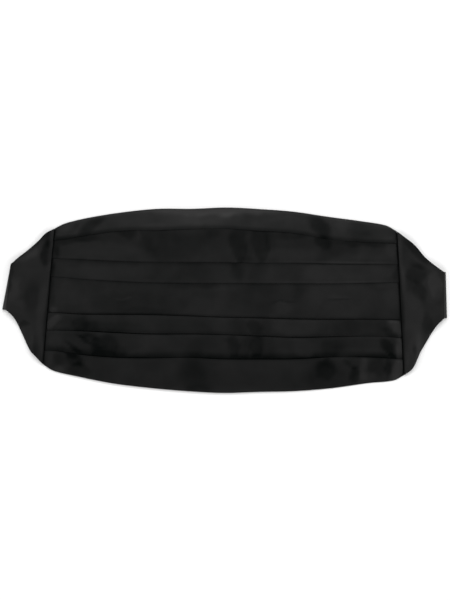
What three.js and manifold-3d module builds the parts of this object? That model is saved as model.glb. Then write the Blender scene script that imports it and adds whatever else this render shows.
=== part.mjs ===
// A pleated satin cummerbund lying flat on its back, worn side up.
// Millimetres. +X runs along the waist, +Y points to the worn top edge, +Z is up off the surface.
// The origin is on the surface, under the middle of the object.
//
// The pleated front is one wall with six folds, all facing the middle band. Each of its ends
// is tucked under a tapering end panel. An elastic strap is sewn under each narrow end, folds
// back behind the front and loops through a flat clasp in the middle.

import * as THREE from 'three';
import { mergeVertices } from 'three/addons/utils/BufferGeometryUtils.js';
import Module from 'manifold-3d';

const wasm = await Module();
wasm.setup();

// Driving dimensions

const PANEL_WALL = 1.5;          // satin, stiff backing and lining, pressed together
const PLEAT_RISE = 1.35;         // how far a folded pleat stands over the band it covers
const PLEAT_RISE_AT_SEAM = 0.6;  // the same where the pleats are sewn down
const POCKET_DEPTH = 3.2;        // open depth behind the nose of a pleat
const POCKET_GAP = 0.35;
const BAND_PUFF = 0.28;          // soft swell in the middle of each band
const TONGUE_LENGTH = 5;         // end of the front that lies under an end panel
const TONGUE_WALL = 1.2;
const TONGUE_STEP = 0.2;         // what is left of a pleat in the tongue
const TONGUE_INSET = 2.8;        // how far inside the outline the tongue starts
const TONGUE_TAPER = 5.4;        // how much narrower each of its edges is at its end
const WING_WALL = 2.2;
const LIP_LENGTH = 5.7;          // folded edge of an end panel over the tongue
const LIP_WALL = 1.2;
const SLIP = 0.3;                // gap between pieces that lie on each other
const LIP_SLIP = 0.38;           // the same between a lip and its tongue
const EDGE_ROUND = 1.1;          // how far in from an edge or a nose its round reaches

const PLEATS_SETTLE = 45;        // distance from a seam where the pleats stand at full rise
const BULGE_HALF_LENGTH = 22;    // bulge over the clasp, and how it fades towards the ends
const BULGE_FADE = 58;
const SEWN_END_X = 136;          // from here out the satin climbs onto the doubled strap
const SEWN_END_CLIMB = 10;
const BESIDE_STRAP = 18;         // shortest run in which the satin comes down to the surface

const STRAP_WIDTH = 35;
const STRAP_WALL = 1;
const STRAP_SEWN_LENGTH = 14;    // upper run, sewn under an end panel
const STRAP_TURN_BACK = 18;      // end run behind the clasp bar, sewn to the strap

const CLASP_Y = -6;
const CLASP_WALL = 1.8;
const CLASP_BAR = 3.2;
const CLASP_WINDOW = 5;
const CLASP_PLATE = 12;
const CLASP_SIDE_PLAY = 1;       // between a strap's edge and the clasp's rail

const SECTION_GAP = 7.6;         // about how far apart the front's sections are

// Heights worked out from what lies under the satin

const UPPER_RUN_TOP = 2 * STRAP_WALL + 0.4;
const CLASP_LOW = STRAP_WALL + SLIP;
const CLASP_TOP = CLASP_LOW + CLASP_WALL;
const LIFT_OVER_STRAP = STRAP_WALL + 0.5;
const LIFT_OVER_SEWN_END = UPPER_RUN_TOP + SLIP;
const LIFT_OVER_CLASP = CLASP_TOP + SLIP + STRAP_WALL + SLIP;

// Seams between the front and the end panels, as lines x = at + slant * y

const SEAM_LEFT = { at: -133.3, slant: 0.0858 };
const SEAM_RIGHT = { at: 133.4, slant: -0.054 };
const FRONT_LENGTH = SEAM_RIGHT.at - SEAM_LEFT.at;

// A table of rows with named columns
function table(names, rows) {
  const columns = names.split(' ');
  return rows.map((row) => Object.fromEntries(row.map((value, i) => [columns[i], value])));
}

// The pleated front from seam to seam: share of the length, then the heights of the top
// edge, the six pleat noses and the bottom edge
const FRONT_ROWS = table('along top fold1 fold2 fold3 fold4 fold5 fold6 bottom', [
  [0.00, 54.2, 45.2, 31.3, 17.8,  -8.6, -22.5, -37.8, -48.3],
  [0.03, 57.7, 45.6, 31.1, 17.2,  -9.0, -22.4, -38.0, -53.1],
  [0.10, 62.4, 48.6, 30.3, 15.5, -10.1, -22.8, -40.2, -57.6],
  [0.20, 66.5, 52.0, 28.9, 13.9, -10.4, -24.2, -42.3, -62.9],
  [0.30, 68.9, 52.2, 28.2, 13.0, -10.7, -25.2, -42.9, -66.2],
  [0.40, 69.1, 53.0, 28.0, 12.7, -11.5, -25.3, -42.6, -68.7],
  [0.50, 69.9, 53.4, 28.0, 12.6, -12.5, -25.9, -44.4, -69.9],
  [0.60, 68.7, 51.6, 27.6, 12.3, -13.1, -26.9, -44.4, -69.2],
  [0.70, 66.6, 49.8, 27.6, 12.3, -13.8, -27.9, -44.1, -68.5],
  [0.80, 62.8, 45.6, 27.1, 12.2, -14.2, -27.5, -42.7, -66.1],
  [0.90, 59.3, 43.5, 26.8, 12.6, -14.3, -27.0, -43.0, -62.4],
  [0.97, 55.8, 42.9, 26.8, 13.0, -14.7, -27.6, -43.9, -60.4],
  [1.00, 52.0, 42.6, 26.7, 13.1, -15.1, -28.5, -44.3, -56.6],
]);

// The end panels from seam to narrow end: distance from the seam, then where the section
// line meets the upper and the lower edge
const LEFT_ROWS = table('out topX topY bottomX bottomY', [
  [ 0, -128.6, 54.2, -137.4, -48.3],
  [ 6, -134.7, 50.5, -143.2, -42.0],
  [13, -141.0, 45.2, -147.6, -36.5],
  [20, -148.0, 39.1, -153.4, -23.8],
  [27, -155.0, 32.8, -159.2, -13.6],
  [33, -161.4, 27.2, -165.0,  -7.3],
]);
const RIGHT_ROWS = table('out topX topY bottomX bottomY', [
  [ 0, 130.6, 52.0, 136.5, -56.6],
  [ 6, 136.9, 47.0, 142.2, -51.2],
  [13, 144.0, 40.8, 148.0, -39.3],
  [20, 151.1, 33.1, 153.9, -28.7],
  [27, 158.3, 26.7, 159.8, -20.0],
  [33, 165.4, 21.5, 165.7, -13.7],
]);

// The folds of the straps past the narrow ends: middle of the fold and its slant
const STRAP_LEFT = { side: -1, foldX: -164.9, foldY: 10.5, slant: 0.187 };
const STRAP_RIGHT = { side: 1, foldX: 167.7, foldY: 4.0, slant: -0.029 };

// Soft swells (rise above 0) and hollows (below 0) in the satin
const SWELLS = table('x y halfX halfY rise', [
  [  -2,   0,  8, 200,   0.3],
  [  12,  42,  7,  10,  -0.3],
  [  27,  40,  7,   9, -0.25],
  [  75,  38, 10,   9, -0.35],
  [-101,  55,  8,   8,  -0.3],
  [  69,  57,  8,   8, -0.35],
  [-109, -48,  9,   8,  -0.3],
  [ -20, -57, 10,   9, -0.35],
  [  74, -56,  9,   8,  -0.3],
  [ 115, -53,  9,   8,  -0.3],
  [ -88, -35, 12,   8,  -0.4],
  [  16, -35, 10,   9,  -0.3],
  [-105, -16,  9,   7, -0.25],
  [  84, -20,  9,   7, -0.25],
  [-135,  38,  6,  10,  -0.4],
  [-145,   4,  8,  12,  -0.4],
  [ 143,  20,  6,  11, -0.45],
  [ 153, -19,  6,   8,  -0.3],
]);

const SATIN = { color: 0x1f1f20, roughness: 0.42, metalness: 0 };
const WEBBING = { color: 0x19191a, roughness: 0.8, metalness: 0 };
const CLASP_COAT = { color: 0x141414, roughness: 0.35, metalness: 0.6 };

// Curves and tables

const mix = (a, b, t) => a + (b - a) * t;
const clamp01 = (t) => Math.min(1, Math.max(0, t));
const ease = (t) => clamp01(t) ** 2 * (3 - 2 * clamp01(t));

// A smooth curve through one column of a table, read at one value of its key column
function readTable(rows, key, column, at) {
  let i = rows.findIndex((row) => row[key] >= at) - 1;
  if (i === -2) i = rows.length - 2;
  i = Math.max(0, i);
  const slope = (k) => {
    const a = rows[Math.max(0, k - 1)];
    const b = rows[Math.min(rows.length - 1, k + 1)];
    return (b[column] - a[column]) / (b[key] - a[key]);
  };
  const a = rows[i];
  const b = rows[i + 1];
  const span = b[key] - a[key];
  const t = (at - a[key]) / span;
  const h = (1 - t) ** 2;
  return (1 + 2 * t) * h * a[column] + t * h * span * slope(i)
    + t * t * (3 - 2 * t) * b[column] + t * t * (t - 1) * span * slope(i + 1);
}

const seamX = (seam, y) => seam.at + seam.slant * y;

function swell(x, y) {
  return SWELLS.reduce((sum, s) => sum
    + s.rise * Math.exp(-(((x - s.x) / s.halfX) ** 2) - ((y - s.y) / s.halfY) ** 2), 0);
}

// What the satin lies on

const CLASP_HALF_X = CLASP_PLATE / 2 + CLASP_WINDOW + CLASP_BAR;
const CLASP_HALF_Y = STRAP_WIDTH / 2 + CLASP_SIDE_PLAY + CLASP_BAR;

// The straps bow a little on their way from the folds to the clasp
function strapY(x) {
  const strap = x < 0 ? STRAP_LEFT : STRAP_RIGHT;
  const t = clamp01((Math.abs(x) - CLASP_HALF_X) / (Math.abs(strap.foldX) - CLASP_HALF_X));
  return mix(CLASP_Y, strap.foldY, t ** 1.5);
}

// Height of the satin's underside over the middle of the straps
function liftOnStraps(x) {
  const away = Math.abs(x);
  const overClasp = 1 - ease((away - BULGE_HALF_LENGTH) / BULGE_FADE);
  const overEnd = ease((away - SEWN_END_X) / SEWN_END_CLIMB);
  return LIFT_OVER_STRAP + overClasp * (LIFT_OVER_CLASP - LIFT_OVER_STRAP)
    + overEnd * (LIFT_OVER_SEWN_END - LIFT_OVER_STRAP);
}

// Underside height at a point of a section that runs from its top to its bottom edge
function lift(x, y, { top, bottom }) {
  const middle = strapY(x);
  const flat = CLASP_HALF_Y + 2 * SLIP;
  const reach = y > middle ? top - middle : middle - bottom;
  const away = Math.abs(y - middle);
  return liftOnStraps(x) * (1 - ease((away - flat) / Math.max(reach - flat - 2, BESIDE_STRAP)));
}

// Solids from closed sections. Every ring has the same number of points; the first
// `upper` points run over the top from +Y to -Y and the rest run back underneath.

function loft(rings, upper) {
  const count = rings[0].length;
  const positions = rings.flat(2);
  const faces = [];
  for (let r = 0; r < rings.length - 1; r += 1) {
    for (let i = 0; i < count; i += 1) {
      const j = (i + 1) % count;
      const a = r * count + i;
      const b = r * count + j;
      faces.push(a, b, b + count, a, b + count, a + count);
    }
  }
  const y = (i) => positions[3 * i + 1];
  const cap = (start, flip) => {
    let a = start;
    let b = start + count - 1;
    const lastA = start + upper - 1;
    const lastB = start + upper;
    while (a < lastA || b > lastB) {
      const stepA = b === lastB || (a < lastA && y(a + 1) >= y(b - 1));
      const next = stepA ? a + 1 : b - 1;
      faces.push(...(flip ? [a, next, b] : [a, b, next]));
      if (stepA) a = next;
      else b = next;
    }
  };
  cap(0, false);
  cap((rings.length - 1) * count, true);
  const geometry = new THREE.BufferGeometry();
  geometry.setAttribute('position', new THREE.Float32BufferAttribute(positions, 3));
  geometry.setIndex(faces);
  geometry.computeVertexNormals();
  return geometry;
}

function piece(name, geometry, finish) {
  const mesh = new THREE.Mesh(geometry, new THREE.MeshStandardMaterial(finish));
  mesh.name = name;
  return mesh;
}

// The pleated front. A section is written as heights over the underside: `y` down the
// front and `over` the wall. `pleated` is 1 in the open front and 0 in the tongues.

function frontSection(along, pleated, inset) {
  const at = (column) => readTable(FRONT_ROWS, 'along', column, along);
  const toSeam = Math.min(along, 1 - along) * FRONT_LENGTH;
  const settled = ease(toSeam / PLEATS_SETTLE);
  const rise = mix(TONGUE_STEP, mix(PLEAT_RISE_AT_SEAM, PLEAT_RISE, settled), pleated);
  const depth = mix(-0.5, mix(1.2, POCKET_DEPTH, settled), pleated);
  const gap = mix(0.06, Math.min(POCKET_GAP, rise * 0.4), pleated);
  const wall = mix(TONGUE_WALL, PANEL_WALL, pleated);
  const puff = mix(0, BAND_PUFF, pleated);
  const top = at('top') - inset;
  const bottom = at('bottom') + inset;
  const upper = [];
  const put = (y, over) => upper.push({ y, over });

  // Points of a nose, from the face of its own band into the pocket behind it
  const nose = (y, into) => [
    { y: y + EDGE_ROUND * into, over: wall + rise },
    { y: y + 0.35 * into, over: wall + rise * 0.86 },
    { y: y + 0.05 * into, over: wall + rise * 0.62 },
    { y: y + mix(-0.1, 0.2, pleated) * into, over: wall + gap * 1.5 },
    { y: y + depth * into, over: wall + gap },
    { y: y + (depth - mix(0.1, 0, pleated)) * into, over: wall },
    { y: y - EDGE_ROUND * into, over: wall },
  ];
  const band = (from, to, overFrom, overTo) => {
    for (const t of [0.25, 0.5, 0.75]) {
      put(mix(from, to, t), wall + mix(overFrom, overTo, t) + puff * Math.sin(Math.PI * t));
    }
  };

  put(top, wall * 0.5);
  put(top - 0.3, wall * 0.9);
  put(top - EDGE_ROUND, wall + rise * 0.3);
  band(top - EDGE_ROUND, at('fold1') + EDGE_ROUND, rise * 0.3, rise);
  nose(at('fold1'), 1).forEach((p) => put(p.y, p.over));
  for (const [from, to] of [['fold1', 'fold2'], ['fold2', 'fold3']]) {
    band(at(from) - EDGE_ROUND, at(to) + EDGE_ROUND, 0, rise);
    nose(at(to), 1).forEach((p) => put(p.y, p.over));
  }
  band(at('fold3') - EDGE_ROUND, at('fold4') + EDGE_ROUND, 0, 0);
  for (const [from, to] of [['fold4', 'fold5'], ['fold5', 'fold6']]) {
    nose(at(from), -1).reverse().forEach((p) => put(p.y, p.over));
    band(at(from) - EDGE_ROUND, at(to) + EDGE_ROUND, rise, 0);
  }
  nose(at('fold6'), -1).reverse().forEach((p) => put(p.y, p.over));
  band(at('fold6') - EDGE_ROUND, bottom + EDGE_ROUND, rise, rise * 0.3);
  put(bottom + EDGE_ROUND, wall + rise * 0.3);
  put(bottom + 0.3, wall * 0.9);
  put(bottom, wall * 0.5);

  const under = [];
  const steps = 16;
  for (let i = 0; i <= steps; i += 1) {
    under.push({ y: mix(bottom + 0.5, top - 0.5, i / steps), over: 0 });
  }
  return { upper, under, edges: { top: at('top'), bottom: at('bottom') } };
}

function pleatedPanel() {
  const sections = [];
  const between = Math.round(FRONT_LENGTH / SECTION_GAP);
  for (let i = 1; i < between; i += 1) {
    sections.push({ from: (i / between) * FRONT_LENGTH, pleated: 1, inset: 0 });
  }
  const edge = [
    { out: TONGUE_LENGTH, pleated: 0, inset: TONGUE_INSET + TONGUE_TAPER },
    { out: -0.1, pleated: 0, inset: TONGUE_INSET },
    { out: -0.9, pleated: 0.35, inset: 0.3 },
    { out: -2.6, pleated: 1, inset: 0 },
  ];
  sections.unshift(...edge.map((e) => ({ ...e, from: -e.out })));
  sections.push(...edge.map((e) => ({ ...e, from: FRONT_LENGTH + e.out })).reverse());

  const rings = sections.map(({ from, pleated, inset }) => {
    const along = clamp01(from / FRONT_LENGTH);
    const past = from - along * FRONT_LENGTH;
    const section = frontSection(along, pleated, inset);
    const placed = ({ y, over }) => {
      const x = mix(seamX(SEAM_LEFT, y), seamX(SEAM_RIGHT, y), along) + past;
      const relief = over > PANEL_WALL * 0.95 ? swell(x, y) * pleated : 0;
      return [x, y, lift(x, y, section.edges) + over + relief];
    };
    return [...section.upper.map(placed), ...section.under.map(placed)];
  });
  return loft(rings, frontSection(0.5, 1, 0).upper.length);
}

// An end panel: a plain tapering wall whose seam end is a lip over the tongue

function endPanel(rows) {
  const length = rows[rows.length - 1].out;
  const stations = [
    { out: 0, fill: 0.4, lip: 1 },
    { out: 0.4, fill: 0.85, lip: 1 },
    { out: 1.2, fill: 1, lip: 1 },
    { out: LIP_LENGTH - 0.2, fill: 1, lip: 1 },
    { out: LIP_LENGTH, fill: 1, lip: 0 },
    ...[9, 12.5, 16, 19.5, 23, 26.5, 29.5].map((out) => ({ out, fill: 1, lip: 0 })),
    { out: length - EDGE_ROUND, fill: 1, lip: 0 },
    { out: length - 0.3, fill: 0.8, lip: 0 },
    { out: length, fill: 0.35, lip: 0 },
  ];
  const lipLow = TONGUE_WALL + TONGUE_STEP + LIP_SLIP;
  const across = 14;
  const rings = stations.map(({ out, fill, lip }) => {
    const at = (column) => readTable(rows, 'out', column, out);
    const top = { x: at('topX'), y: at('topY') };
    const bottom = { x: at('bottomX'), y: at('bottomY') };
    const width = top.y - bottom.y;
    const free = ease((out - LIP_LENGTH) / 8);
    const edges = {
      top: mix(rows[0].topY, top.y, free),
      bottom: mix(rows[0].bottomY, bottom.y, free),
    };
    const thickness = mix(WING_WALL, lipLow + LIP_WALL, ease((LIP_LENGTH + 4 - out) / 4));
    const place = (inward, share, isUnder) => {
      const t = clamp01(inward / width);
      const x = mix(top.x, bottom.x, t);
      const y = mix(top.y, bottom.y, t);
      const fromEdge = Math.min(inward, width - inward);
      const low = lip && fromEdge > 1.6 ? lipLow : 0;
      const middle = (low + thickness) / 2;
      const full = isUnder ? low : thickness + swell(x, y);
      return [x, y, lift(x, y, edges) + mix(middle, full, share * fill)];
    };
    const turned = [[0, 0], [0.3, 0.7], [EDGE_ROUND, 1], [1.8, 1]];
    const inner = [];
    for (let i = 1; i < across; i += 1) inner.push([(i / across) * width, 1]);
    const upper = [...turned, ...inner, ...turned.map(([d, s]) => [width - d, s]).reverse()];
    const under = upper.slice(1, -1).reverse();
    return [
      ...upper.map(([d, s]) => place(d, s, false)),
      ...under.map(([d, s]) => place(d, s, true)),
    ];
  });
  const ordered = rows[0].topX < 0 ? rings.reverse() : rings;
  return loft(ordered, 4 + across - 1 + 4);
}

// A strap: one ribbon whose path is drawn from the side. It starts at the sewn end, turns
// down at the fold, runs in on the surface, passes under the clasp bar and turns back over it.

function strapPath(fold) {
  const low = STRAP_WALL / 2;
  const high = UPPER_RUN_TOP - STRAP_WALL / 2;
  const turn = (high - low) / 2;
  const start = fold - turn - low;
  const barX = CLASP_HALF_X - CLASP_BAR;
  const loopHigh = CLASP_TOP + SLIP + STRAP_WALL / 2;
  const loopTurn = (loopHigh - low) / 2;
  const resting = CLASP_LOW + STRAP_WALL / 2;
  const path = [
    [start - STRAP_SEWN_LENGTH, high],
    [start - STRAP_SEWN_LENGTH / 2, high],
  ];
  const arc = (cx, cz, radius, from, to, steps) => {
    for (let i = 0; i <= steps; i += 1) {
      const a = mix(from, to, i / steps);
      path.push([cx + radius * Math.cos(a), cz + radius * Math.sin(a)]);
    }
  };
  arc(start, low + turn, turn, Math.PI / 2, -Math.PI / 2, 6);
  const runEnd = barX + CLASP_BAR;
  const runSteps = 12;
  for (let i = 1; i <= runSteps; i += 1) path.push([mix(start, runEnd, i / runSteps), low]);
  arc(barX, low + loopTurn, loopTurn, -Math.PI / 2, -Math.PI * 1.5, 8);
  path.push([runEnd + 0.6, loopHigh]);
  path.push([runEnd + 3, loopHigh - 0.5]);
  path.push([runEnd + 8, resting + 0.35]);
  path.push([runEnd + 10.5, resting]);
  path.push([runEnd + 8 + STRAP_TURN_BACK, resting]);
  return path;
}

function strap({ side, foldX, slant }) {
  const path = strapPath(Math.abs(foldX));
  const rings = path.map(([x, z], i) => {
    const [ax, az] = path[Math.max(0, i - 1)];
    const [bx, bz] = path[Math.min(path.length - 1, i + 1)];
    const size = Math.hypot(bx - ax, bz - az);
    const normal = [(bz - az) / size, -(bx - ax) / size];
    const corner = (across, through) => {
      const px = side * (x + normal[0] * through * STRAP_WALL / 2);
      const pz = z + normal[1] * through * STRAP_WALL / 2;
      const tilt = slant * clamp01((Math.abs(px) - CLASP_HALF_X) / (Math.abs(foldX) - CLASP_HALF_X));
      const offset = across * STRAP_WIDTH / 2;
      return [px + tilt * offset, strapY(px) + offset, pz];
    };
    return side > 0
      ? [corner(1, -1), corner(-1, -1), corner(-1, 1), corner(1, 1)]
      : [corner(1, 1), corner(-1, 1), corner(-1, -1), corner(1, -1)];
  });
  return loft(rings, 2);
}

function solid(geometry) {
  geometry.deleteAttribute('normal');
  geometry.deleteAttribute('uv');
  const merged = mergeVertices(geometry, 1e-4);
  return new wasm.Manifold(new wasm.Mesh({
    numProp: 3,
    vertProperties: merged.attributes.position.array,
    triVerts: Uint32Array.from(merged.index.array),
  }));
}

function shell(manifold) {
  const { vertProperties, triVerts } = manifold.getMesh();
  const geometry = new THREE.BufferGeometry();
  geometry.setAttribute('position', new THREE.BufferAttribute(vertProperties, 3));
  geometry.setIndex(new THREE.BufferAttribute(triVerts, 1));
  geometry.computeVertexNormals();
  return geometry;
}

// The clasp: a flat plate with round corners and two windows, standing on z = 0
function clasp() {
  const corner = 2.5;
  const outline = new THREE.Shape();
  for (const [sx, sy, from] of [[1, -1, -90], [1, 1, 0], [-1, 1, 90], [-1, -1, 180]]) {
    const start = THREE.MathUtils.degToRad(from);
    const x = sx * (CLASP_HALF_X - corner);
    const y = sy * (CLASP_HALF_Y - corner);
    outline.absarc(x, y, corner, start, start + Math.PI / 2);
  }
  let plate = solid(new THREE.ExtrudeGeometry(outline, {
    depth: CLASP_WALL, bevelEnabled: false, curveSegments: 4,
  }));
  const windowX = CLASP_PLATE / 2 + CLASP_WINDOW / 2;
  const windowY = STRAP_WIDTH + 2 * CLASP_SIDE_PLAY;
  for (const side of [-1, 1]) {
    const hole = new THREE.BoxGeometry(CLASP_WINDOW, windowY, 3 * CLASP_WALL);
    plate = plate.subtract(solid(hole.translate(side * windowX, 0, CLASP_WALL / 2)));
  }
  return shell(plate);
}

// The assembly

const cummerbund = new THREE.Group();
cummerbund.add(piece('pleated_panel', pleatedPanel(), SATIN));
cummerbund.add(piece('end_panel_left', endPanel(LEFT_ROWS), SATIN));
cummerbund.add(piece('end_panel_right', endPanel(RIGHT_ROWS), SATIN));
cummerbund.add(piece('strap_left', strap(STRAP_LEFT), WEBBING));
cummerbund.add(piece('strap_right', strap(STRAP_RIGHT), WEBBING));

const claspMesh = piece('clasp', clasp(), CLASP_COAT);
claspMesh.position.set(0, CLASP_Y, CLASP_LOW);
cummerbund.add(claspMesh);

export default cummerbund;
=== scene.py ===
import math

import bmesh
import bpy
from mathutils import Matrix, Vector, noise


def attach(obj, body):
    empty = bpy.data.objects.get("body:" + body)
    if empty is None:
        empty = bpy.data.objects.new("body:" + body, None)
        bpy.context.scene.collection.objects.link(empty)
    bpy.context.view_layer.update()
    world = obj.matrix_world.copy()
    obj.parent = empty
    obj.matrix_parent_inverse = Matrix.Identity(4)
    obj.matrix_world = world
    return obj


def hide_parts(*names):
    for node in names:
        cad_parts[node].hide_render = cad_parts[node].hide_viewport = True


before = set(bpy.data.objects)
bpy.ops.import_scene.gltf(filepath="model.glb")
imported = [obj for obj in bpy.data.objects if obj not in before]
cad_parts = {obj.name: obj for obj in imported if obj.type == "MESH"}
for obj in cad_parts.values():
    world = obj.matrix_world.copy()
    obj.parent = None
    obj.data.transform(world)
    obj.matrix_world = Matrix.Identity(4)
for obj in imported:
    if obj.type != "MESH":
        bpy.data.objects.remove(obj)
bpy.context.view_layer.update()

# Camera
# The sash lies on its back and is looked at from straight above, its worn top edge
# uppermost. The view is as high as the picture: 453 mm over 600 pixels.

VIEW_HEIGHT = 0.453
CAMERA_LENS = 85.0
CAMERA_SENSOR = 36.0
VIEW_CENTRE = (0.0003, 0.0002)
SATIN_LEVEL = 0.003

camera_data = bpy.data.cameras.new("camera")
camera_data.lens = CAMERA_LENS
camera_data.sensor_width = CAMERA_SENSOR
camera = bpy.data.objects.new("camera", camera_data)
camera_height = SATIN_LEVEL + VIEW_HEIGHT * CAMERA_LENS / CAMERA_SENSOR
camera.location = (*VIEW_CENTRE, camera_height)
bpy.context.collection.objects.link(camera)
bpy.context.scene.camera = camera


# Clasp
# A flat metal frame with two windows, one for each strap, stamped in one piece, its edges
# tumbled round and enamelled black. Each strap loops round its outer bar.

MM = 0.001

CLASP_Y = -6 * MM
CLASP_WALL = 1.8 * MM
CLASP_LOW = 1.3 * MM
CLASP_TOP = CLASP_LOW + CLASP_WALL
CLASP_BAR = 3.2 * MM
CLASP_WINDOW = 5 * MM
CLASP_PLATE = 12 * MM
CLASP_HALF_X = CLASP_PLATE / 2 + CLASP_WINDOW + CLASP_BAR
CLASP_HALF_Y = 21.7 * MM
CLASP_CORNER = 2.5 * MM
CLASP_ROUND = 0.45 * MM
ENAMEL = (0.01, 0.01, 0.01, 1)


def new_piece(name, bm):
    mesh = bpy.data.meshes.new(name)
    bm.to_mesh(mesh)
    bm.free()
    piece = bpy.data.objects.new(name, mesh)
    bpy.context.collection.objects.link(piece)
    return piece


def round_edges(piece, width, segments, angle=50):
    soft = piece.modifiers.new("round edges", "BEVEL")
    soft.width = width
    soft.segments = segments
    soft.limit_method = "ANGLE"
    soft.angle_limit = math.radians(angle)
    soft.harden_normals = False


def make_clasp():
    xs = [-CLASP_HALF_X, -CLASP_HALF_X + CLASP_BAR, -CLASP_PLATE / 2]
    xs += [-x for x in xs[::-1]]
    ys = [-CLASP_HALF_Y, -CLASP_HALF_Y + CLASP_BAR, CLASP_HALF_Y - CLASP_BAR, CLASP_HALF_Y]
    bm = bmesh.new()
    bmesh.ops.create_grid(bm, x_segments=5, y_segments=3, size=0.5)
    for vert in bm.verts:
        column, row = round((vert.co.x + 0.5) * 5), round((vert.co.y + 0.5) * 3)
        vert.co = (xs[column], CLASP_Y + ys[row], CLASP_LOW)
    windows = []
    for face in bm.faces:
        middle = face.calc_center_median()
        between_rails = abs(middle.y - CLASP_Y) < CLASP_HALF_Y - CLASP_BAR
        if between_rails and CLASP_PLATE / 2 < abs(middle.x) < CLASP_HALF_X - CLASP_BAR:
            windows.append(face)
    bmesh.ops.delete(bm, geom=windows, context="FACES")
    made = bmesh.ops.extrude_face_region(bm, geom=bm.faces[:])
    raised = [v for v in made["geom"] if isinstance(v, bmesh.types.BMVert)]
    bmesh.ops.translate(bm, verts=raised, vec=(0, 0, CLASP_WALL))
    bmesh.ops.recalc_face_normals(bm, faces=bm.faces[:])
    corners = []
    for edge in bm.edges:
        a, b = edge.verts
        upright = abs(a.co.z - b.co.z) > CLASP_WALL / 2
        if upright and abs(a.co.x) > CLASP_HALF_X - MM and abs(a.co.y - CLASP_Y) > CLASP_HALF_Y - MM:
            corners.append(edge)
    bmesh.ops.bevel(
        bm, geom=corners, offset=CLASP_CORNER, segments=6, profile=0.5, affect="EDGES", material=-1
    )
    for face in bm.faces:
        face.smooth = True
    piece = new_piece("clasp_frame", bm)
    round_edges(piece, CLASP_ROUND, 3, 40)
    return piece


def enamel_material():
    material = bpy.data.materials.new("black enamel")
    material.use_nodes = True
    nodes, links = material.node_tree.nodes, material.node_tree.links
    shader = nodes["Principled BSDF"]
    shader.inputs["Base Color"].default_value = ENAMEL
    shader.inputs["Coat Weight"].default_value = 0.3
    place = nodes.new("ShaderNodeTexCoord")
    scuffs = nodes.new("ShaderNodeTexNoise")
    scuffs.inputs["Scale"].default_value = 400.0
    scuffs.inputs["Detail"].default_value = 4.0
    links.new(place.outputs["Object"], scuffs.inputs["Vector"])
    gloss = nodes.new("ShaderNodeMapRange")
    gloss.inputs["To Min"].default_value = 0.25
    gloss.inputs["To Max"].default_value = 0.5
    links.new(scuffs.outputs["Fac"], gloss.inputs["Value"])
    links.new(gloss.outputs["Result"], shader.inputs["Roughness"])
    return material


clasp_frame = make_clasp()
clasp_frame.data.materials.append(enamel_material())
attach(clasp_frame, "root")
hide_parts("clasp")


# Straps
# Black elastic webbing, 35 mm wide, woven with lengthwise ribs. Each strap is sewn under a
# narrow end, folds back behind the front, loops round a bar of the clasp and is sewn to itself.

STRAP = 0.9 * MM
STRAP_WIDTH = 35 * MM
STRAP_LOW = 0.6 * MM         # middle of the run that lies on the surface
STRAP_HIGH = 1.9 * MM        # middle of the run sewn under the end panel
SEWN = 14 * MM
LOOP_TOP = CLASP_TOP + 0.8 * MM
LOOP_END = 0.6 * MM          # past the clasp, where the turned-back end leaves its loop
BACK_TO_STRAP = 10.5 * MM    # where it has come down again
OVER_STRAP = 0.35 * MM       # how far over the strap it then lies
TURN_BACK = 26 * MM
STRAP_ROUND = 0.25 * MM
RIB_PITCH = 1.1 * MM
PICK_PITCH = 0.8 * MM
THREAD = 0.26 * MM
STITCH_SPREAD = 0.8          # half the width of a stitch, in threads
STITCH = 2.4 * MM
STITCH_GAP = 0.9 * MM
BOX_START = 1 * MM           # how far the box of stitches keeps off what is round it
BOX_END = 2 * MM
BOX_SIDE = 3 * MM
STRAP_BLACK = (0.026, 0.026, 0.026, 1)
THREAD_BLACK = (0.014, 0.014, 0.014, 1)

# The middle of the fold past each narrow end, and its slant, by side
FOLD_X = {-1: 164.9 * MM, 1: 167.7 * MM}
FOLD_Y = {-1: 10.5 * MM, 1: 4.0 * MM}
FOLD_SLANT = {-1: 0.187, 1: -0.029}


def mix(a, b, t):
    return a + (b - a) * t


def clamp01(t):
    return min(1.0, max(0.0, t))


def ease(t):
    t = clamp01(t)
    return t * t * (3 - 2 * t)


def strap_share(x):
    """0 at the clasp, 1 at the fold."""
    fold_x = FOLD_X[-1 if x < 0 else 1]
    return clamp01((abs(x) - CLASP_HALF_X) / (fold_x - CLASP_HALF_X))


def strap_y(x):
    """The straps bow a little on their way from the folds to the clasp."""
    fold_y = FOLD_Y[-1 if x < 0 else 1]
    return mix(CLASP_Y, fold_y, strap_share(x) ** 1.5)


def arc(centre, height, radius, start, end, steps):
    """Points round a fold, from one angle in degrees to another."""
    points = []
    for i in range(steps + 1):
        a = math.radians(mix(start, end, i / steps))
        points.append((centre + radius * math.cos(a), height + radius * math.sin(a)))
    return points


def strap_path(fold_x):
    """The strap drawn from the side, as (x, z), from its sewn end to its turned-back end."""
    turn = (STRAP_HIGH - STRAP_LOW) / 2
    start = fold_x - turn - STRAP / 2
    bar = CLASP_HALF_X - CLASP_BAR
    loop = (LOOP_TOP - STRAP_LOW) / 2
    resting = STRAP_LOW + STRAP + OVER_STRAP
    path = [(start - SEWN * (1 - i / 8), STRAP_HIGH) for i in range(8)]
    path += arc(start, STRAP_LOW + turn, turn, 90, -90, 10)
    path += [(mix(start, CLASP_HALF_X, i / 70), STRAP_LOW) for i in range(1, 71)]
    path += arc(bar, STRAP_LOW + loop, loop, -90, -270, 14)
    for i in range(13):
        x = CLASP_HALF_X + mix(LOOP_END, BACK_TO_STRAP, i / 12)
        path.append((x, mix(LOOP_TOP, resting, ease(i / 12))))
    flat = TURN_BACK - BACK_TO_STRAP
    path += [(CLASP_HALF_X + BACK_TO_STRAP + flat * i / 7, resting) for i in range(1, 8)]
    return path


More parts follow.
